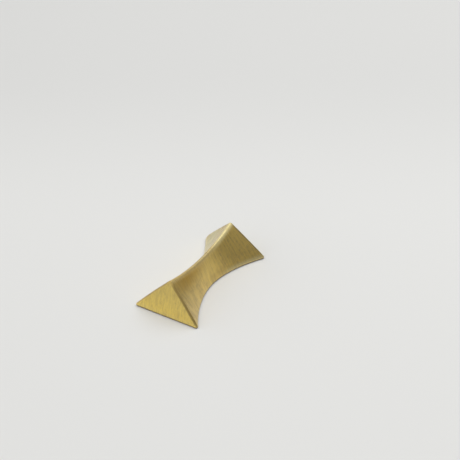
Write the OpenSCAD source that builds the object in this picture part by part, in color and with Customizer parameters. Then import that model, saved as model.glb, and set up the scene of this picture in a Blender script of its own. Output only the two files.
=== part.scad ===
// Chopstick rest: one solid casting with two peaked, flared ends and a low saddle between them.
// X runs along the rest from end to end, Y across it, and Z up from the surface it stands on.
// The origin is on that surface, under the middle of the saddle.

/* [Ends] */
// Length of the rest over its two end faces
base_length = 45; // [30:0.1:70]
// Width of the rest across each flared end
end_width = 23.9; // [14:0.1:40]
// Height of the two peaks
peak_height = 12.7; // [8:0.1:20]
// How far each end face leans in over the height of its peak
end_lean = 3.1; // [0:0.1:6]

/* [Saddle] */
// Width of the rest at the waist, where it is narrowest
waist_width = 8.5; // [4:0.1:14]
// Height of the saddle, where things are laid across
saddle_height = 9.8; // [5:0.1:12]
// How late the rest flares out towards the ends: 1 is straight from the waist, 2 is a parabola
flare_power = 1.85; // [1:0.05:4]
// How late the ridge climbs towards the peaks
climb_power = 1.9; // [1:0.05:4]

/* [Skin] */
// How far the middle of each flank bulges past a straight line from foot to ridge
flank_crown = 0.15; // [0:0.05:0.5]
// Radius of all the edges, with the ridge
edge_radius = 0.65; // [0.3:0.05:1.5]
// Depth ground off the underside to make it flat
ground_depth = 0.12; // [0:0.02:0.24]

/* [Smoothness] */
// Number of steps along the length
length_steps = 60; // [12:2:80]
// Number of facets over the ridge
ridge_facets = 8; // [2:1:12]
// Number of facets round each of the other edges
edge_facets = 6; // [2:1:8]
// Number of facets up each flank, between its two edges
flank_facets = 4; // [1:1:8]

/* [Hidden] */
half_length = base_length / 2;
foot_level = edge_radius - ground_depth;
down = [0, 0, -1];
// Overrun of the grinding cut past the solid
overrun = 1;
// Small step, as a share, between the two places that a direction is taken from
step_share = 0.001;

// The casting is a sharp core with a ball of the edge radius rolled all over it. A section of the
// core is a triangle with one corner on the ridge and two at the foot. It is named by its share of
// the half length: -1 and 1 are the end faces, 0 is the waist. A point on one side of the section
// is named by how far up that side it is: 0 is the foot and 1 is the ridge.
function half_width(share) =
    waist_width / 2 + (end_width - waist_width) / 2 * pow(abs(share), flare_power);
function ridge_height(share) =
    saddle_height + (peak_height - saddle_height) * pow(abs(share), climb_power);
function core(share, side, up) =
    let (
        foot = [half_width(share) - edge_radius, foot_level],
        rise = [0, ridge_height(share) - edge_radius] - foot,
        outwards = [rise.y, -rise.x] / norm(rise),
        point = foot + up * rise + 4 * flank_crown * up * (1 - up) * outwards,
        // The sections lean in with the end faces, more and more towards each end
        reach = half_length - edge_radius - end_lean * (point.y - foot_level) / peak_height
    )
    [share * reach, side * point.x, point.y];

// Directions straight out of a flank, and straight out of an end face
function unit(vector) = vector / norm(vector);
function flank_out(share, side, up) =
    let (
        along = core(share + step_share, side, up) - core(share - step_share, side, up),
        upwards = core(share, side, up + step_share) - core(share, side, up - step_share)
    )
    side * unit(cross(upwards, along));
function end_out(share) = unit([share * peak_height, 0, end_lean]);

// A direction part of the way from one to another
function between(from, to, part) =
    let (angle = acos(from * to))
    (from * sin((1 - part) * angle) + to * sin(part * angle)) / sin(angle);

// A spoke is a point of the core with a direction out of it. A fan is several at one point.
function fan(point, from, to, facets) =
    [for (i = [0 : facets]) [point, between(from, to, i / facets)]];
function flank(share, side) = [
    for (i = [1 : flank_facets - 1])
        [core(share, side, i / flank_facets), flank_out(share, side, i / flank_facets)]
];
function reversed(list) = [for (i = [len(list) - 1 : -1 : 0]) list[i]];

// All the spokes of one section, from the foot on the +Y side over the ridge to the other foot
function spokes(share) =
    concat(
        fan(core(share, 1, 0), down, flank_out(share, 1, 0), edge_facets),
        flank(share, 1),
        fan(core(share, 1, 1), flank_out(share, 1, 1), flank_out(share, -1, 1), ridge_facets),
        reversed(flank(share, -1)),
        fan(core(share, -1, 0), flank_out(share, -1, 0), down, edge_facets)
    );
function body_row(share) = [for (spoke = spokes(share)) spoke[0] + edge_radius * spoke[1]];
// A row on the round between the last section and its end face, part of the way to the face
function end_row(share, part) = [
    for (spoke = spokes(share))
        spoke[0] + edge_radius * between(spoke[1], end_out(share), part)
];

rows = concat(
    [for (i = [edge_facets : -1 : 1]) end_row(-1, i / edge_facets)],
    [for (i = [0 : length_steps]) body_row(2 * i / length_steps - 1)],
    [for (i = [1 : edge_facets]) end_row(1, i / edge_facets)]
);
ring = len(rows[0]);
function corner(row, i) = row * ring + i % ring;

module casting() {
    near_end = [for (i = [0 : ring - 1]) corner(0, i)];
    far_end = [for (i = [ring - 1 : -1 : 0]) corner(len(rows) - 1, i)];
    sides = [
        for (row = [0 : len(rows) - 2], i = [0 : ring - 1], half = [0, 1])
            half == 0
                ? [corner(row, i), corner(row + 1, i), corner(row + 1, i + 1)]
                : [corner(row, i), corner(row + 1, i + 1), corner(row, i + 1)]
    ];
    points = [for (row = rows, point = row) point];
    polyhedron(points, concat([near_end, far_end], sides), convexity = 4);
}

// Everything below the surface that the rest stands on
module grinding() {
    size = [base_length + 2 * overrun, end_width + 2 * overrun, ground_depth + overrun];
    translate([-size.x / 2, -size.y / 2, -size.z]) cube(size);
}

module rest_body() {
    color("#b59b4c")
    difference() {
        casting();
        grinding();
    }
}

rest_body();
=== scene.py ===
# %% [markdown]
# # A cast brass chopstick rest
# This lesson builds one small solid object: a rest of cast brass, about 45 mm long, with two
# peaked, flared ends and a low saddle between them. There is one piece and one metal, so all the
# care goes into a clean form and into a surface that catches light as brushed brass does.
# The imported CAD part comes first. It fixes the size and the place of everything that follows.

# %% Load the fixed frame
import math

import bpy
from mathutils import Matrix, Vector, noise


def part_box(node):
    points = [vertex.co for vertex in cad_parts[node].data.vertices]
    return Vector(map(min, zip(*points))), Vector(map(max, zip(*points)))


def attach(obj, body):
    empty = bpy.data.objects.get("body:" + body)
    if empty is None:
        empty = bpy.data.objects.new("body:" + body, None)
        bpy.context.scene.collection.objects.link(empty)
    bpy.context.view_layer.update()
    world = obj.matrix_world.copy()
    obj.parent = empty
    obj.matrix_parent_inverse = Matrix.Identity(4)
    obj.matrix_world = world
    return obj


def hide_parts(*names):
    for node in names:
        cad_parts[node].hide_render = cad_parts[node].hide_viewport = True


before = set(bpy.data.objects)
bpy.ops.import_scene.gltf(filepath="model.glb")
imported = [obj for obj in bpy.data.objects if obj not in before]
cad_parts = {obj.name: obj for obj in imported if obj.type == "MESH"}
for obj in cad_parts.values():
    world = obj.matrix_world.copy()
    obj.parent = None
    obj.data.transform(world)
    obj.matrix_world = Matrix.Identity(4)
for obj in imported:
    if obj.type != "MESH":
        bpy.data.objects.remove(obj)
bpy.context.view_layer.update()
MM = 0.001
low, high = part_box("rest_body")
print("Nodes of the part:", list(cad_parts))
print("CAD size in mm:", [round((high[i] - low[i]) / MM, 2) for i in range(3)])

# %% [markdown]
# ## The camera
# The photograph looks down at the rest from one end and one side. The viewing angles and the
# rest's place in the picture were worked out together from the outline of the rest, and they are
# written here as a photographer would note them: which way the camera looks, how steeply down, and
# how far to the right of the lens, above it and ahead of it the middle of the rest's foot lies.

# %% Place the camera
PHOTO_SIZE = 460
FOCAL_PIXELS = 1100
SENSOR_WIDTH = 36
LOOK_AZIMUTH = math.radians(59.41)
LOOK_ELEVATION = math.radians(35.1)
FOOT_RIGHT = -9.55 * MM
FOOT_UP = -17.38 * MM
FOOT_AHEAD = 374.9 * MM
CLIP_START = 10 * MM


def camera_axes(azimuth, elevation):
    ahead = Vector((
        math.sin(azimuth) * math.cos(elevation),
        math.cos(azimuth) * math.cos(elevation),
        -math.sin(elevation),
    ))
    right = Vector((math.cos(azimuth), -math.sin(azimuth), 0))
    return right, right.cross(ahead), ahead


def add_camera():
    right, up, ahead = camera_axes(LOOK_AZIMUTH, LOOK_ELEVATION)
    place = -(right * FOOT_RIGHT + up * FOOT_UP + ahead * FOOT_AHEAD)
    bpy.ops.object.camera_add(location=place, rotation=ahead.to_track_quat("-Z", "Y").to_euler())
    camera = bpy.context.object
    camera.name = "photo_camera"
    camera.data.sensor_width = SENSOR_WIDTH
    camera.data.lens = SENSOR_WIDTH * FOCAL_PIXELS / PHOTO_SIZE
    camera.data.clip_start = CLIP_START
    bpy.context.scene.camera = camera
    return camera


camera = add_camera()
print("Camera at", [round(c, 4) for c in camera.location], "lens", round(camera.data.lens, 1), "mm")

# %% [markdown]
# ## The sizes of the rest
# These are the sizes that a pattern maker would mark on a drawing: the overall ones, how narrow
# the waist is, how low the saddle dips, how far the end faces lean in, how much the flanks are
# crowned, and how round the edges are. From the waist to either end the foot flares out and the
# ridge climbs, each by its own power of the distance.

# %% Name the sizes and the two curves
BASE_LENGTH = 45 * MM
END_WIDTH = 23.9 * MM
PEAK_HEIGHT = 12.7 * MM
END_LEAN = 3.1 * MM
WAIST_WIDTH = 8.5 * MM
SADDLE_HEIGHT = 9.8 * MM
FLARE_POWER = 1.85
CLIMB_POWER = 1.9
FLANK_CROWN = 0.15 * MM
EDGE_RADIUS = 0.65 * MM
GROUND_DEPTH = 0.12 * MM
FOOT_LEVEL = EDGE_RADIUS - GROUND_DEPTH


def half_width(share):
    return WAIST_WIDTH / 2 + (END_WIDTH - WAIST_WIDTH) / 2 * abs(share) ** FLARE_POWER


def ridge_height(share):
    return SADDLE_HEIGHT + (PEAK_HEIGHT - SADDLE_HEIGHT) * abs(share) ** CLIMB_POWER


for share in (0, 1):
    print("At share", share, "half width", round(half_width(share) / MM, 2), "mm, ridge",
          round(ridge_height(share) / MM, 2), "mm")

# %% [markdown]
# ## A core and a ball
# Every edge of the casting is rounded alike, also where three edges meet. One way to get that is a
# bevel, but its corners bulge where the edges are as acute as here. So the form is thought of as a
# sharp core with a ball rolled all over it. A section of the core is a triangle. It is named by
# its share of the half length, and a point on its side by how far up that side it is. The direction
# straight out of a flank is square to two lines along it, each between points a small step apart.

# %% Find a point of the core and the direction straight out of it
SMALL_STEP = 0.001


def core(share, side, up):
    foot = Vector((half_width(share) - EDGE_RADIUS, FOOT_LEVEL))
    rise = Vector((0, ridge_height(share) - EDGE_RADIUS)) - foot
    outwards = Vector((rise.y, -rise.x)).normalized()
    point = foot + up * rise + 4 * FLANK_CROWN * up * (1 - up) * outwards
    reach = BASE_LENGTH / 2 - EDGE_RADIUS - END_LEAN * (point.y - FOOT_LEVEL) / PEAK_HEIGHT
    return Vector((share * reach, side * point.x, point.y))


def flank_out(share, side, up):
    along = core(share + SMALL_STEP, side, up) - core(share - SMALL_STEP, side, up)
    upwards = core(share, side, up + SMALL_STEP) - core(share, side, up - SMALL_STEP)
    return side * upwards.cross(along).normalized()


def end_out(share):
    return Vector((math.copysign(PEAK_HEIGHT, share), 0, END_LEAN)).normalized()


print("Out of the flank at the waist:", [round(c, 3) for c in flank_out(0, 1, 0.5)])

# %% [markdown]
# ## The spokes of a section
# A spoke is a point of the core with a direction out of it. Several spokes at one corner of the
# core make a fan, which draws the round of that edge. The list runs all round the section, from
# the middle of the underside and back to it. Both halves of a section hold the spokes at the top
# of the ridge and in the middle of the underside, so the second half leaves them out.

# %% List the spokes round one section
EDGE_STEPS = 6
RIDGE_STEPS = 8
FLANK_STEPS = 36
UNDERSIDE_STEPS = 8


def fan(point, start, end, steps):
    return [(point, start.slerp(end, i / steps)) for i in range(steps + 1)]


def half_section(share, side):
    """Spokes from the middle of the underside out to the foot and up to the top of the ridge."""
    down = Vector((0, 0, -1))
    foot = core(share, side, 0)
    ridge = core(share, side, 1)
    middle = Vector((foot.x, 0, foot.z))
    spokes = [(middle.lerp(foot, i / UNDERSIDE_STEPS), down) for i in range(UNDERSIDE_STEPS)]
    spokes += fan(foot, down, flank_out(share, side, 0), EDGE_STEPS)
    for i in range(1, FLANK_STEPS):
        up = i / FLANK_STEPS
        spokes.append((core(share, side, up), flank_out(share, side, up)))
    over = fan(ridge, flank_out(share, side, 1), flank_out(share, -side, 1), RIDGE_STEPS)
    return spokes + over[:RIDGE_STEPS // 2 + 1]


def section_spokes(share):
    back = half_section(share, -1)
    return half_section(share, 1) + back[-2:0:-1]


RING = len(section_spokes(0))
print("Spokes in one section:", RING)

# %% [markdown]
# ## The row of sections
# The sections stand in a row from one end face to the other. Past the last section the spokes
# swing round to the direction of the end face, which rounds the edges of that face. The face
# itself is filled by smaller and smaller copies of its outline.

# %% List the rings of points from end to end
LENGTH_STEPS = 150
END_STEPS = 8
FACE_STEPS = 26


def body_ring(share):
    return [point + EDGE_RADIUS * out for point, out in section_spokes(share)]


def end_ring(share, part):
    face = end_out(share)
    return [point + EDGE_RADIUS * out.slerp(face, part) for point, out in section_spokes(share)]


def face_ring(share, scale):
    outline = end_ring(share, 1)
    middle = sum(outline, Vector()) / RING
    return [middle.lerp(point, scale) for point in outline]


def end_rings(share):
    """The rings of one end, from the last section's edge to the middle of the face."""
    rings = [end_ring(share, i / END_STEPS) for i in range(1, END_STEPS)]
    return rings + [face_ring(share, 1 - i / FACE_STEPS) for i in range(FACE_STEPS)]


rings = end_rings(1)[::-1]
rings += [body_ring(1 - 2 * i / LENGTH_STEPS) for i in range(LENGTH_STEPS + 1)]
rings += end_rings(-1)
print("Rings:", len(rings))

# %% [markdown]
# ## Lofting the body
# The form is drawn out of one ring, as a loft is made by hand: a circle is extruded again and
# again, and each ring is then set to its place. The two smallest rings, in the middle of the end
# faces, are filled. Where a fan swings onto an end face its points fall together, so doubles are
# merged.

# %% Extrude ring after ring
MERGE_DISTANCE = 0.002 * MM


def deselect_all():
    for piece in bpy.context.selected_objects:
        piece.select_set(False)


def select_vertices(mesh, chosen):
    """Selects these vertices, and the edges and faces that have only such vertices."""
    for vertex in mesh.vertices:
        vertex.select = vertex.index in chosen
    for edge in mesh.edges:
        edge.select = all(i in chosen for i in edge.vertices)
    for face in mesh.polygons:
        face.select = all(i in chosen for i in face.vertices)


def fill_ring(body, first):
    """Closes one of the two smallest rings with a face."""
    select_vertices(body.data, set(range(first, first + RING)))
    bpy.ops.object.mode_set(mode="EDIT")
    bpy.ops.mesh.edge_face_add()
    bpy.ops.object.mode_set(mode="OBJECT")


def extrude_rings(count):
    deselect_all()
    bpy.ops.mesh.primitive_circle_add(vertices=RING, radius=END_WIDTH / 2, fill_type="NOTHING")
    body = bpy.context.object
    body.name = "brass_rest"
    step = {"value": (0, 0, BASE_LENGTH / count)}
    bpy.ops.object.mode_set(mode="EDIT")
    bpy.ops.mesh.select_all(action="SELECT")
    for _ in range(count - 1):
        bpy.ops.mesh.extrude_edges_move(TRANSFORM_OT_translate=step)
    bpy.ops.object.mode_set(mode="OBJECT")
    return body


def loft_body():
    body = extrude_rings(len(rings))
    points = [point for ring in rings for point in ring]
    for vertex, point in zip(body.data.vertices, points):
        vertex.co = point
    fill_ring(body, 0)
    fill_ring(body, len(points) - RING)
    bpy.ops.object.mode_set(mode="EDIT")
    bpy.ops.mesh.select_all(action="SELECT")
    bpy.ops.mesh.remove_doubles(threshold=MERGE_DISTANCE)
    bpy.ops.mesh.normals_make_consistent(inside=False)
    bpy.ops.object.mode_set(mode="OBJECT")
    return body


body = loft_body()
print("Faces after lofting:", len(body.data.polygons))

# %% [markdown]
# ## The ground underside
# The founder grinds the underside on a flat plate until the rest stands without rocking. The loft
# reaches a little below the table for that reason. A boolean with a box could take the surplus
# away, but one bisecting cut does it more simply, and fills the opening in the same step.

# %% Cut the underside flat
SMOOTH_ANGLE = math.radians(30)
TABLE_LEVEL = (0, 0, 0)
STRAIGHT_UP = (0, 0, 1)
CUT_TOLERANCE = 0.0001 * MM


def grind_flat(body):
    bpy.ops.object.mode_set(mode="EDIT")
    bpy.ops.mesh.select_all(action="SELECT")
    bpy.ops.mesh.bisect(
        plane_co=TABLE_LEVEL,
        plane_no=STRAIGHT_UP,
        use_fill=True,
        clear_inner=True,
        threshold=CUT_TOLERANCE,
    )
    bpy.ops.mesh.select_all(action="SELECT")
    bpy.ops.mesh.normals_make_consistent(inside=False)
    bpy.ops.object.mode_set(mode="OBJECT")
    bpy.ops.object.shade_smooth_by_angle(angle=SMOOTH_ANGLE)


grind_flat(body)
lowest = min(vertex.co.z for vertex in body.data.vertices)
print("Faces after grinding:", len(body.data.polygons))
print("Lowest point in mm:", round(lowest / MM, 4))

# %% [markdown]
# ## The hand of the finisher
# A file and an abrasive pad never leave a casting quite true. Its faces wave by a few hundredths of
# a millimetre, which is too little to see in the outline but enough to trouble the reflections. It
# is done in the mesh and not in the material, as a sculptor would with a soft brush: each vertex
# moves along its normal by two waves of noise, each with a pitch and a height. Two places are also
# rubbed rounder than the other edges: the peak at one end, and a corner of the foot at the other.
# Each is a soft spot that is pulled inwards, less and less with the distance. The underside stays
# flat, so the rest still stands without rocking.

# %% Trouble the faces a little
WAVES = ((0.16 / MM, 0.035 * MM), (0.55 / MM, 0.012 * MM))
CALM_LOW = 0.3 * MM
CALM_HIGH = 1.4 * MM
SOFT_POWER = 1.5
CORNER_PLACE = Vector((BASE_LENGTH / 2, END_WIDTH / 2, 0.5 * MM))
CORNER_PULL = Vector((-0.35, -0.63, 0)) * MM
CORNER_REACH = 2.6 * MM
PEAK_PLACE = Vector((END_LEAN - BASE_LENGTH / 2 - 0.1 * MM, 0, PEAK_HEIGHT - 0.3 * MM))
PEAK_PULL = Vector((0.4, 0, -0.12)) * MM
PEAK_REACH = 2.2 * MM
SOFT_SPOTS = (
    (CORNER_PLACE, CORNER_PULL, CORNER_REACH),
    (PEAK_PLACE, PEAK_PULL, PEAK_REACH),
)


def smooth_step(low_end, high_end, value):
    part = min(max((value - low_end) / (high_end - low_end), 0), 1)
    return part * part * (3 - 2 * part)


def wave(point):
    return sum(size * noise.noise(point * pitch) for pitch, size in WAVES)


def soften(point):
    """How far a point near a soft spot is pulled in between the edges that meet there."""
    move = Vector()
    for place, pull, reach in SOFT_SPOTS:
        near = max(1 - (point - place).length / reach, 0)
        move += near ** SOFT_POWER * pull
    return move


def finish_by_hand(body):
    moves = []
    for vertex in body.data.vertices:
        loose = smooth_step(CALM_LOW, CALM_HIGH, vertex.co.z)
        moves.append(loose * wave(vertex.co) * vertex.normal + soften(vertex.co))
    for vertex, move in zip(body.data.vertices, moves):
        vertex.co += move
    print("Largest move in mm:", round(max(move.length for move in moves) / MM, 3))


finish_by_hand(body)

# %% [markdown]
# ## How near the next edge is
# The finish paints shade along the edges, so it needs to know how near each place is to an edge.
# A place lies on one face of the rest. The nearest other face meets it at an edge, so the second
# smallest of the distances to all the faces is what is wanted. It is kept on the mesh as an
# attribute that the material can read.

# %% Measure the distance to the nearest edge
EDGE_ATTRIBUTE = "edge_distance"


def face_distances(point):
    share = point.x / (BASE_LENGTH / 2)
    wide = half_width(share)
    tall = ridge_height(share)
    slant = math.hypot(wide, tall)
    lean = math.hypot(PEAK_HEIGHT, END_LEAN)
    distances = [point.z]
    for side in (-1, 1):
        left = BASE_LENGTH / 2 - side * point.x
        distances.append((PEAK_HEIGHT * left - END_LEAN * point.z) / lean)
        distances.append((tall * (wide - side * point.y) - wide * point.z) / slant)
    return distances


def measure_edges(body):
    attribute = body.data.attributes.new(EDGE_ATTRIBUTE, "FLOAT", "POINT")
    for vertex, value in zip(body.data.vertices, attribute.data):
        value.value = sorted(face_distances(vertex.co))[1] / MM


measure_edges(body)
values = [value.value for value in body.data.attributes[EDGE_ATTRIBUTE].data]
print("Distance to the next edge in mm, from", round(min(values), 2), "to", round(max(values), 2))

# %% [markdown]
# ## A short way to wire nodes
# A finish is a tree of small nodes, and each takes several lines to add, set and link. A helper
# that knows its tree keeps the finish itself readable. What goes into a socket is either a plain
# value or the output of another node. A Mix node has sockets for numbers, vectors and colours in
# turn under the same names, so the sockets for colours are found by number.

# %% Make the wiring helper
MIX_PART = 0
MIX_FIRST = 6
MIX_SECOND = 7
MIX_RESULT = 2


class Wiring:
    """One node tree, with short names for the nodes that the finishes need."""

    def __init__(self, tree):
        self.tree = tree

    def put(self, node, socket, value):
        """Sets an input of a node, or links the output of another node to it."""
        if isinstance(value, bpy.types.NodeSocket):
            self.tree.links.new(value, node.inputs[socket])
        else:
            node.inputs[socket].default_value = value

    def add(self, kind, inputs, **settings):
        node = self.tree.nodes.new(kind)
        for name, value in settings.items():
            setattr(node, name, value)
        for socket, value in inputs.items():
            self.put(node, socket, value)
        return node.outputs

    def maths(self, operation, first, second=0.0):
        return self.add("ShaderNodeMath", {0: first, 1: second}, operation=operation)[0]

    def times(self, first, second):
        return self.maths("MULTIPLY", first, second)

    def plus(self, first, second):
        return self.maths("ADD", first, second)

    def less(self, first, second):
        return self.maths("SUBTRACT", first, second)

    def larger(self, first, second):
        return self.maths("MAXIMUM", first, second)

    def vectors(self, operation, first, second=(0, 0, 0)):
        return self.add("ShaderNodeVectorMath", {0: first, 1: second}, operation=operation)

    def split(self, vector):
        return self.add("ShaderNodeSeparateXYZ", {0: vector})

    def spread(self, value, band, ends):
        """Spreads a band of values smoothly from the one end to the other."""
        inputs = {"Value": value, "From Min": band[0], "From Max": band[1]}
        inputs.update({"To Min": ends[0], "To Max": ends[1]})
        return self.add("ShaderNodeMapRange", inputs, interpolation_type="SMOOTHSTEP")[0]

    def fade_in(self, value, band):
        return self.spread(value, band, (0.0, 1.0))

    def fade_out(self, value, band):
        return self.spread(value, band, (1.0, 0.0))

    def between(self, value, ends):
        return self.spread(value, (0.0, 1.0), ends)

    def blend(self, part, first, second):
        """Goes from the first colour to the second as the part goes from 0 to 1."""
        inputs = {MIX_PART: part, MIX_FIRST: first, MIX_SECOND: second}
        return self.add("ShaderNodeMix", inputs, data_type="RGBA")[MIX_RESULT]

    def noise(self, place, pitch, detail):
        inputs = {"Vector": place, "Scale": pitch, "Detail": detail}
        return self.add("ShaderNodeTexNoise", inputs)["Fac"]

    def bump(self, height, strength, depth):
        inputs = {"Height": height, "Strength": strength, "Distance": depth}
        return self.add("ShaderNodeBump", inputs)["Normal"]

    def place_and_facing(self):
        """The place on the rest in millimetres, and the direction that the surface faces."""
        coordinates = self.tree.nodes.new("ShaderNodeTexCoord").outputs
        inputs = {0: coordinates["Object"], "Scale": 1 / MM}
        place = self.add("ShaderNodeVectorMath", inputs, operation="SCALE")["Vector"]
        return place, coordinates["Normal"]


print("Wiring helper ready")

# %% [markdown]
# ## Shared patterns
# Two finishes are needed: the brushed brass that shows, and the ground brass underneath. Both have
# the straight lines of an abrasive and the same age. These two patterns are node groups, because a
# group is built once and placed in each material with values of its own. Its sockets are made
# through its interface.

# %% Make a group, and place it in a material
def new_group(name, inputs, outputs):
    """A node group with these sockets. Gives its wiring, its given values and its result."""
    group = bpy.data.node_groups.new(name, "ShaderNodeTree")
    for socket in inputs:
        group.interface.new_socket(socket, in_out="INPUT", socket_type="NodeSocketVector")
    for socket in outputs:
        group.interface.new_socket(socket, in_out="OUTPUT", socket_type="NodeSocketFloat")
    wiring = Wiring(group)
    return wiring, group.nodes.new("NodeGroupInput").outputs, group.nodes.new("NodeGroupOutput")


def use_group(wiring, group, place, squeeze=None):
    """Places a group in a material, and gives its outputs."""
    inputs = {"Place": place}
    if squeeze:
        inputs["Squeeze"] = squeeze
    return wiring.add("ShaderNodeGroup", inputs, node_tree=group)


print("Helpers for groups ready")

# %% [markdown]
# ## The lines of an abrasive
# Each grain of a pad or a sheet of abrasive cuts its own straight line, and no two are alike. A
# picture of scratches would blur close up, so the lines are noise, squeezed along one direction
# until its spots run together. There are two sizes of them: fine lines, and the broad streaks that
# many grains leave together.

# %% Build the group of lines
FINE_PITCH = 4.5
FINE_DETAIL = 4.0
FINE_CONTRAST = (0.32, 0.68)
BROAD_PITCH = 1.6
BROAD_DETAIL = 3.0
BROAD_CONTRAST = (0.38, 0.62)


def make_lines_group():
    wiring, given, result = new_group("abrasive_lines", ["Place", "Squeeze"], ["Fine", "Broad"])
    squeezed = wiring.vectors("MULTIPLY", given["Place"], given["Squeeze"])["Vector"]
    fine = wiring.noise(squeezed, FINE_PITCH, FINE_DETAIL)
    broad = wiring.noise(squeezed, BROAD_PITCH, BROAD_DETAIL)
    wiring.put(result, "Fine", wiring.fade_in(fine, FINE_CONTRAST))
    wiring.put(result, "Broad", wiring.fade_in(broad, BROAD_CONTRAST))
    return wiring.tree


abrasive_lines = make_lines_group()
print("Group", abrasive_lines.name, "with", len(abrasive_lines.nodes), "nodes")

# %% [markdown]
# ## The age of the metal
# Brass that is used for years goes brown in clouds, and the casting left small round pits in it.
# Age is noise too, at three sizes: wide clouds of tarnish, a finer mottle, and the pits, which are
# only the highest tops of their noise.

# %% Build the group of age
TARNISH_PITCH = 0.22
TARNISH_DETAIL = 3.0
TARNISH_CONTRAST = (0.46, 0.70)
MOTTLE_PITCH = 0.9
MOTTLE_DETAIL = 4.0
MOTTLE_CONTRAST = (0.3, 0.7)
PIT_PITCH = 2.6
PIT_DETAIL = 1.0
PIT_CONTRAST = (0.70, 0.80)


def make_age_group():
    wiring, given, result = new_group("metal_age", ["Place"], ["Tarnish", "Mottle", "Pits"])
    tarnish = wiring.noise(given["Place"], TARNISH_PITCH, TARNISH_DETAIL)
    mottle = wiring.noise(given["Place"], MOTTLE_PITCH, MOTTLE_DETAIL)
    pits = wiring.noise(given["Place"], PIT_PITCH, PIT_DETAIL)
    wiring.put(result, "Tarnish", wiring.fade_in(tarnish, TARNISH_CONTRAST))
    wiring.put(result, "Mottle", wiring.fade_in(mottle, MOTTLE_CONTRAST))
    wiring.put(result, "Pits", wiring.fade_in(pits, PIT_CONTRAST))
    return wiring.tree


metal_age = make_age_group()
print("Group", metal_age.name, "with", len(metal_age.nodes), "nodes")

# %% [markdown]
# ## The rims of the end faces
# A thin dark line of painted shade lies in the round edges of the end faces. It follows the
# distance to the next edge, made a little ragged by the mottle, and it lies where the surface turns
# from a flank to an end face. How far it has turned is the value outwards: 1 straight out along the
# rest, and below 0 where a flank looks back towards the waist. Distances and heights are in
# millimetres.

# %% Find the dark rims
RIM_BAND = (0.55, 1.2)
RIM_ABOVE_FOOT = (0.8, 1.6)
RIM_FROM_FLANK = (-0.4, 0.0)
RIM_TO_FACE = (0.8, 0.99)
RAGGED = (-0.12, 0.12)


def find_rim(wiring, z, outwards, mottle):
    to_edge = wiring.add("ShaderNodeAttribute", {}, attribute_name=EDGE_ATTRIBUTE)["Fac"]
    to_edge = wiring.plus(to_edge, wiring.between(mottle, RAGGED))
    rim = wiring.times(wiring.fade_out(to_edge, RIM_BAND), wiring.fade_in(z, RIM_ABOVE_FOOT))
    rim = wiring.times(rim, wiring.fade_in(outwards, RIM_FROM_FLANK))
    return wiring.times(rim, wiring.fade_out(outwards, RIM_TO_FACE))


print("The rims are dark up to", RIM_BAND[1], "mm from an edge")

# %% [markdown]
# ## Two soft spots
# Two soft oval spots are painted on the flanks: a warm brown spot high on one flank, partly a stain
# and partly painted shade, and a pale patch of painted reflection on the other. They could be
# painted on the mesh by hand, but a place with a distance from it is enough, and easy to move.

# %% Find a soft spot
# A warm brown spot high on one flank: partly a stain, partly painted shade.
STAIN_AND_SHADE_PLACE = (-10.8, -1.2, 9.4)
STAIN_AND_SHADE_SQUEEZE = (0.4, 1.0, 1.0)
STAIN_AND_SHADE_BAND = (0.5, 5.4)
# A pale patch on the other flank near the far end: a painted reflection of the white table.
PALE_REFLECTION_PLACE = (17.5, 6.5, 4.5)
PALE_REFLECTION_SQUEEZE = (0.8, 0.8, 1.0)
PALE_REFLECTION_BAND = (2.0, 8.0)


def find_spot(wiring, place, middle, squeeze, band):
    """Gives 1 in the middle of a soft spot, and 0 outside it."""
    offset = wiring.vectors("SUBTRACT", place, middle)["Vector"]
    offset = wiring.vectors("MULTIPLY", offset, squeeze)["Vector"]
    return wiring.fade_out(wiring.vectors("LENGTH", offset)["Value"], band)


print("Marks at", STAIN_AND_SHADE_PLACE, "and", PALE_REFLECTION_PLACE, "in mm")

# %% [markdown]
# ## Where the finish changes
# The finish is not the same all over. The pad went up and down on the end faces but from ridge to
# foot on the flanks, and it cut deepest at the far end. The ridge, as far as its round into an end
# face, and the line just above the foot get a painted highlight, most of all towards the far end.
# The very foot gets painted shade, as the rims do. At the waist, where fingers hold the rest, the
# strokes are partly worn away. Each of these zones is a value from 0 to 1, worked out from place
# and facing.

# %% Say where each part of the finish is
END_FACING = (0.80, 0.92)
FAR_BAND = (2.0, 14.0)
HIGH_BAND = (0.5, 9.0)
RIDGE_BAND = (0.35, 1.4)
RIDGE_TO_FACE = (0.0, 0.45)
FOOT_BAND = (0.35, 0.8)
ABOVE_FOOT_BAND = (0.9, 2.3)
WAIST_BAND = (2.0, 10.0)


def find_zones(wiring, place, facing, mottle):
    """Gives all the zones by name."""
    x, y, z = wiring.split(place)
    outwards = wiring.times(wiring.split(facing)[0], wiring.maths("SIGN", x))
    end = wiring.fade_in(outwards, END_FACING)
    flank = wiring.less(1.0, end)
    crest = wiring.fade_out(wiring.maths("ABSOLUTE", y), RIDGE_BAND)
    foot = wiring.fade_out(z, FOOT_BAND)
    stain_and_shade = find_spot(wiring, place, STAIN_AND_SHADE_PLACE, STAIN_AND_SHADE_SQUEEZE, STAIN_AND_SHADE_BAND)
    painted_reflection = find_spot(wiring, place, PALE_REFLECTION_PLACE, PALE_REFLECTION_SQUEEZE, PALE_REFLECTION_BAND)
    return {
        "end": end,
        "far": wiring.fade_in(x, FAR_BAND),
        "high": wiring.fade_in(z, HIGH_BAND),
        "ridge": wiring.times(crest, wiring.fade_out(outwards, RIDGE_TO_FACE)),
        "rim": find_rim(wiring, z, outwards, mottle),
        "foot": foot,
        "above_foot": wiring.less(wiring.fade_out(z, ABOVE_FOOT_BAND), foot),
        "waist": wiring.fade_out(wiring.maths("ABSOLUTE", x), WAIST_BAND),
        "stain_and_shade": wiring.times(stain_and_shade, flank),
        "painted_reflection": wiring.times(painted_reflection, flank),
    }


print("Zones: end, far, high, ridge, rim, foot, above_foot, waist, mark, bloom")

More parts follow.
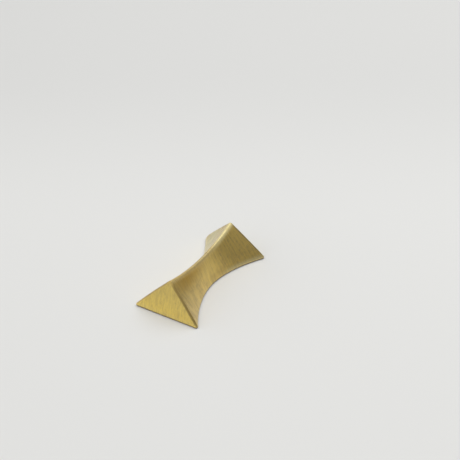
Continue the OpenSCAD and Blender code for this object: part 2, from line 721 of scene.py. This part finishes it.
# %% [markdown]
# ## How strongly the strokes show
# A stroke shows as a dull line in the bright metal. The broad streaks count for more than the fine
# lines, and both come and go with the mottle, as a hand presses now more and now less. The zones
# then weaken them on the end faces and at the waist, and deepen them towards the far end.

# %% Weigh the strokes
BROAD_WEIGHT = 1.3
FINE_WEIGHT = 0.7
STROKE_DEPTH = (0.16, 0.28)
STROKE_ON_END = (1.0, 0.86)
STROKE_AT_WAIST = (1.0, 0.6)
STROKE_AT_FAR = (1.0, 1.4)


def stroke_strength(wiring, zones, lines, mottle):
    strokes = wiring.times(lines["Broad"], BROAD_WEIGHT)
    strokes = wiring.plus(strokes, wiring.times(lines["Fine"], FINE_WEIGHT))
    strokes = wiring.times(strokes, wiring.between(mottle, STROKE_DEPTH))
    strokes = wiring.times(strokes, wiring.between(zones["end"], STROKE_ON_END))
    strokes = wiring.times(strokes, wiring.between(zones["waist"], STROKE_AT_WAIST))
    return wiring.times(strokes, wiring.between(zones["far"], STROKE_AT_FAR))


print("Strokes at the waist keep", STROKE_AT_WAIST[1], "of their depth")

# %% [markdown]
# ## The colour of the brushed brass
# Brass is mostly a mirror: what is seen in it is the white table and the dim room. So its colour is
# the colour that it gives to reflections, and it changes only a little from place to place. The
# end faces start from clean brass, painted a little brighter towards the foot as painted light, and
# the flanks from brass that handling has made a little warmer. Each step below lays one more tone
# over the last: strokes, a warm spot that is partly a stain and partly painted shade, a pale patch
# of painted reflection, tarnish, painted shade along the rims and the foot, then painted highlights
# along the ridge and above the foot, and the pits, where dirt stays.

# %% Blend the tones of the brushed brass
# Painted light: the lower colour makes the end faces a little brighter towards the foot.
BRASS_CLEAN_LOW_PAINTED_LIGHT = (0.84, 0.63, 0.134, 1)
BRASS_CLEAN_HIGH = (0.70, 0.525, 0.126, 1)
BRASS_HANDLED = (0.80, 0.58, 0.145, 1)
# Warm brown spot, partly a stain and partly painted shade.
BRASS_WARM_STAIN_AND_SHADE = (0.66, 0.41, 0.05, 1)
# Pale patch: a painted reflection of the white table.
BRASS_PAINTED_REFLECTION = (0.66, 0.70, 0.44, 1)
BRASS_DULL = (0.40, 0.29, 0.10, 1)
BRASS_BROWN = (0.34, 0.22, 0.09, 1)
# Painted shade along the rims of the end faces and at the very foot.
BRASS_PAINTED_SHADE = (0.20, 0.125, 0.05, 1)
# Painted highlight along the ridge and just above the foot.
BRASS_PAINTED_HIGHLIGHT = (0.88, 0.79, 0.44, 1)
STAIN_AND_SHADE_DEPTH = 0.9
PALE_REFLECTION_DEPTH = 0.38
TARNISH_DEPTH = (0.22, 0.08)
RIM_SHADE_DEPTH = 0.46
FOOT_SHADE_DEPTH = 0.8
RIDGE_HIGHLIGHT_DEPTH = (0.38, 0.9)
FOOT_HIGHLIGHT_DEPTH = (0.1, 0.5)
PIT_DEPTH = 0.5


def brushed_colour(wiring, zones, lines, age):
    strokes = stroke_strength(wiring, zones, lines, age["Mottle"])
    tarnish = wiring.times(age["Tarnish"], wiring.between(zones["end"], TARNISH_DEPTH))
    # Painted shade: the rims of the end faces and the very foot are painted dark.
    painted_shade = wiring.times(zones["rim"], RIM_SHADE_DEPTH)
    painted_shade = wiring.larger(painted_shade, wiring.times(zones["foot"], FOOT_SHADE_DEPTH))
    # Painted highlight: the ridge and the line above the foot are painted pale, most towards the
    # far end.
    ridge_highlight = wiring.times(zones["ridge"], wiring.between(zones["far"], RIDGE_HIGHLIGHT_DEPTH))
    foot_highlight = wiring.times(zones["above_foot"], wiring.between(zones["far"], FOOT_HIGHLIGHT_DEPTH))
    # Painted light: the end faces go a little brighter towards the foot.
    clean_with_painted_light = wiring.blend(zones["high"], BRASS_CLEAN_LOW_PAINTED_LIGHT, BRASS_CLEAN_HIGH)
    colour = wiring.blend(zones["end"], BRASS_HANDLED, clean_with_painted_light)
    colour = wiring.blend(strokes, colour, BRASS_DULL)
    # Warm brown spot: partly a stain, partly painted shade.
    colour = wiring.blend(wiring.times(zones["stain_and_shade"], STAIN_AND_SHADE_DEPTH), colour, BRASS_WARM_STAIN_AND_SHADE)
    # Painted reflection: a pale patch on the flank near the far end.
    colour = wiring.blend(wiring.times(zones["painted_reflection"], PALE_REFLECTION_DEPTH), colour, BRASS_PAINTED_REFLECTION)
    colour = wiring.blend(tarnish, colour, BRASS_BROWN)
    colour = wiring.blend(painted_shade, colour, BRASS_PAINTED_SHADE)
    colour = wiring.blend(wiring.larger(ridge_highlight, foot_highlight), colour, BRASS_PAINTED_HIGHLIGHT)
    return wiring.blend(wiring.times(age["Pits"], PIT_DEPTH), colour, BRASS_BROWN)


print("Clean brass reflects", BRASS_CLEAN_HIGH[:3], "and near the foot", BRASS_CLEAN_LOW_PAINTED_LIGHT[:3])

# %% [markdown]
# ## Gloss and relief of the brushed brass
# The lines of the pad scatter light, so they are rougher than the metal between them, and tarnish
# is a little rougher too. The ridge was rubbed across by hand until it was quite matt, which turns
# the lamp's reflection there into a soft band. The lines and the pits are real relief too, a few
# hundredths of a millimetre high or deep, and that is the work of the bump node.

# %% Set the gloss and the relief
FINE_ROUGHNESS = (0.33, 0.41)
BROAD_ROUGHNESS = (0.0, 0.07)
TARNISH_ROUGHNESS = 0.08
RIDGE_ROUGHNESS = 0.34
FINE_RELIEF = 0.35
RELIEF_STRENGTH = 1.0
RELIEF_DEPTH = 0.025 * MM


def brushed_roughness(wiring, zones, lines, age):
    rough = wiring.plus(
        wiring.between(lines["Fine"], FINE_ROUGHNESS),
        wiring.between(lines["Broad"], BROAD_ROUGHNESS),
    )
    rough = wiring.plus(rough, wiring.times(age["Tarnish"], TARNISH_ROUGHNESS))
    return wiring.plus(rough, wiring.times(zones["ridge"], RIDGE_ROUGHNESS))


def brushed_relief(wiring, lines, age):
    height = wiring.less(wiring.times(lines["Fine"], FINE_RELIEF), age["Pits"])
    height = wiring.plus(height, lines["Broad"])
    return wiring.bump(height, RELIEF_STRENGTH, RELIEF_DEPTH)


print("Relief in mm:", round(RELIEF_DEPTH / MM, 3))

# %% [markdown]
# ## The brushed brass
# Now the parts come together in one material. The flanks and the end faces each use the lines group
# with their own squeeze, and the zone of the end faces chooses between them. Over the metal lies a
# thin film of clear wax, which is what makes a face look pale when it is seen almost edge on. The
# film is the same everywhere, so its weight and roughness are set on the shader's own sockets.

# %% Mix the brushed brass
FLANK_SQUEEZE = (0.9, 0.09, 0.09)
END_SQUEEZE = (0.2, 1.1, 0.2)
WAX_WEIGHT = 0.9
WAX_ROUGHNESS = 0.3


def new_metal(name):
    material = bpy.data.materials.new(name)
    material.use_nodes = True
    shader = material.node_tree.nodes["Principled BSDF"]
    shader.inputs["Metallic"].default_value = 1
    shader.inputs["Coat Weight"].default_value = WAX_WEIGHT
    shader.inputs["Coat Roughness"].default_value = WAX_ROUGHNESS
    return material, Wiring(material.node_tree), shader


def make_brushed_brass():
    material, wiring, shader = new_metal("brass_brushed")
    place, facing = wiring.place_and_facing()
    age = use_group(wiring, metal_age, place)
    zones = find_zones(wiring, place, facing, age["Mottle"])
    on_flank = use_group(wiring, abrasive_lines, place, FLANK_SQUEEZE)
    on_end = use_group(wiring, abrasive_lines, place, END_SQUEEZE)
    lines = {
        name: wiring.blend(zones["end"], on_flank[name], on_end[name]) for name in ("Fine", "Broad")
    }
    wiring.put(shader, "Base Color", brushed_colour(wiring, zones, lines, age))
    wiring.put(shader, "Roughness", brushed_roughness(wiring, zones, lines, age))
    wiring.put(shader, "Normal", brushed_relief(wiring, lines, age))
    return material


brushed_brass = make_brushed_brass()
print("Nodes in the brushed brass:", len(brushed_brass.node_tree.nodes))

# %% [markdown]
# ## The ground brass
# The underside was rubbed to and fro on a sheet of abrasive. Its lines are straight and lie a
# little askew, and there is no worn edge inside it. It shares both patterns, so it keeps the look
# of the rest.

# %% Mix the ground brass
GRIND_ANGLE = math.radians(17)
GRIND_SQUEEZE = (0.03, 1.0, 1.0)
BRASS_GROUND = (0.765, 0.58, 0.135, 1)
GROUND_TARNISH = 0.3
GROUND_ROUGHNESS = (0.26, 0.40)
GROUND_RELIEF_STRENGTH = 0.6
GROUND_RELIEF_DEPTH = 0.02 * MM


def make_ground_brass():
    material, wiring, shader = new_metal("brass_ground")
    place = wiring.place_and_facing()[0]
    turn = {"Vector": place, "Rotation": (0, 0, GRIND_ANGLE)}
    turned = wiring.add("ShaderNodeMapping", turn)["Vector"]
    lines = use_group(wiring, abrasive_lines, turned, GRIND_SQUEEZE)
    age = use_group(wiring, metal_age, place)
    colour = wiring.blend(lines["Broad"], BRASS_GROUND, BRASS_DULL)
    colour = wiring.blend(wiring.times(age["Tarnish"], GROUND_TARNISH), colour, BRASS_BROWN)
    relief = wiring.bump(lines["Fine"], GROUND_RELIEF_STRENGTH, GROUND_RELIEF_DEPTH)
    wiring.put(shader, "Base Color", colour)
    wiring.put(shader, "Roughness", wiring.between(lines["Fine"], GROUND_ROUGHNESS))
    wiring.put(shader, "Normal", relief)
    return material


ground_brass = make_ground_brass()
print("Nodes in the ground brass:", len(ground_brass.node_tree.nodes))

# %% [markdown]
# ## Dressing the rest
# The casting is one piece, so the two finishes share one mesh, each in a material slot of its own.
# The underside is the only place that faces straight down, so the direction of a face says which
# finish it gets.

# %% Give each face its finish
BRUSHED_SLOT = 0
GROUND_SLOT = 1
STRAIGHT_DOWN = -0.99


def dress(body):
    body.data.materials.clear()
    body.data.materials.append(brushed_brass)
    body.data.materials.append(ground_brass)
    for face in body.data.polygons:
        face.material_index = GROUND_SLOT if face.normal.z < STRAIGHT_DOWN else BRUSHED_SLOT


dress(body)
under = sum(face.material_index == GROUND_SLOT for face in body.data.polygons)
print("Ground faces:", under, "of", len(body.data.polygons))

# %% [markdown]
# ## The table
# The rest stands on a plain white table. Its colour is painted a little darker towards the back, a
# painted shade where the light dims. A single plane is enough, because only its top is seen.

# %% Lay the table
TABLE_SIZE = 4
TABLE_ROUGHNESS = 0.9
TABLE_COLOUR = (0.765, 0.765, 0.748, 1)
TABLE_BACK_PAINTED_SHADE = (0.70, 0.70, 0.685, 1)
TABLE_BACKWARDS = (0.86, 0.51, 0)
TABLE_BAND = (0.03, 0.16)


def make_table():
    deselect_all()
    bpy.ops.mesh.primitive_plane_add(size=TABLE_SIZE)
    table = bpy.context.object
    table.name = "table"
    material = bpy.data.materials.new("table_white")
    material.use_nodes = True
    wiring = Wiring(material.node_tree)
    place = wiring.tree.nodes.new("ShaderNodeTexCoord").outputs["Object"]
    backwards = wiring.vectors("DOT_PRODUCT", place, TABLE_BACKWARDS)["Value"]
    # Painted shade: the table's colour darkens towards the back.
    back = wiring.fade_in(backwards, TABLE_BAND)
    shader = wiring.tree.nodes["Principled BSDF"]
    shader.inputs["Roughness"].default_value = TABLE_ROUGHNESS
    wiring.put(shader, "Base Color", wiring.blend(back, TABLE_COLOUR, TABLE_BACK_PAINTED_SHADE))
    table.data.materials.append(material)
    return table


table = make_table()
print("Table size in metres:", TABLE_SIZE)

# %% [markdown]
# ## The lamp
# The light is one wide soft box overhead, shifted a little towards the far end. It is longer along
# the rest than across it, so that it shows in the ridge but not in the flanks.

# %% Hang the lamp
LAMP_DIRECTION = Vector((0.28, -0.05, 0.96)).normalized()
LAMP_DISTANCE = 1.0
LAMP_LENGTH = 1.5
LAMP_WIDTH = 0.9
LAMP_POWER = 7.8


def hang_lamp():
    deselect_all()
    bpy.ops.object.light_add(type="AREA", location=LAMP_DISTANCE * LAMP_DIRECTION)
    lamp = bpy.context.object
    lamp.name = "overhead_lamp"
    lamp.rotation_euler = (0, math.atan2(LAMP_DIRECTION.x, LAMP_DIRECTION.z), 0)
    lamp.data.shape = "RECTANGLE"
    lamp.data.size = LAMP_LENGTH
    lamp.data.size_y = LAMP_WIDTH
    lamp.data.energy = LAMP_POWER
    return lamp


lamp = hang_lamp()
print("Lamp at", [round(c, 2) for c in lamp.location], "with", LAMP_POWER, "W")

# %% [markdown]
# ## The room
# Metal shows the room around it. This room is dim near the horizon and lighter overhead, with one
# bright wall low on the left. Lamp and room are balanced so that together they show a colour about
# as it is written.

# %% Light the room
ROOM_HEIGHTS = (0.1, 1.0)
ROOM_LEVELS = (0.22, 0.40)
BRIGHT_SIDE = Vector((-0.62, 0.78, 0.12)).normalized()
BRIGHT_SIDE_BAND = (0.2, 1.0)
BRIGHT_SIDE_LEVEL = 0.85
ROOM_COLOUR = (1, 1, 1, 1)


def light_room():
    world = bpy.data.worlds.new("room")
    world.use_nodes = True
    wiring = Wiring(world.node_tree)
    direction = wiring.tree.nodes.new("ShaderNodeTexCoord").outputs["Generated"]
    level = wiring.spread(wiring.split(direction)[2], ROOM_HEIGHTS, ROOM_LEVELS)
    towards = wiring.vectors("DOT_PRODUCT", direction, BRIGHT_SIDE)["Value"]
    level = wiring.plus(level, wiring.spread(towards, BRIGHT_SIDE_BAND, (0.0, BRIGHT_SIDE_LEVEL)))
    background = wiring.tree.nodes["Background"]
    wiring.put(background, "Color", ROOM_COLOUR)
    wiring.put(background, "Strength", level)
    bpy.context.scene.world = world


light_room()
bpy.context.scene.view_settings.view_transform = "Standard"
print("Room levels:", ROOM_LEVELS, "and", BRIGHT_SIDE_LEVEL, "more on the bright side")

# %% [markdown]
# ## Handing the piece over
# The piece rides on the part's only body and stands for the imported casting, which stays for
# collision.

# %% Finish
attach(body, "root")
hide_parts("rest_body")
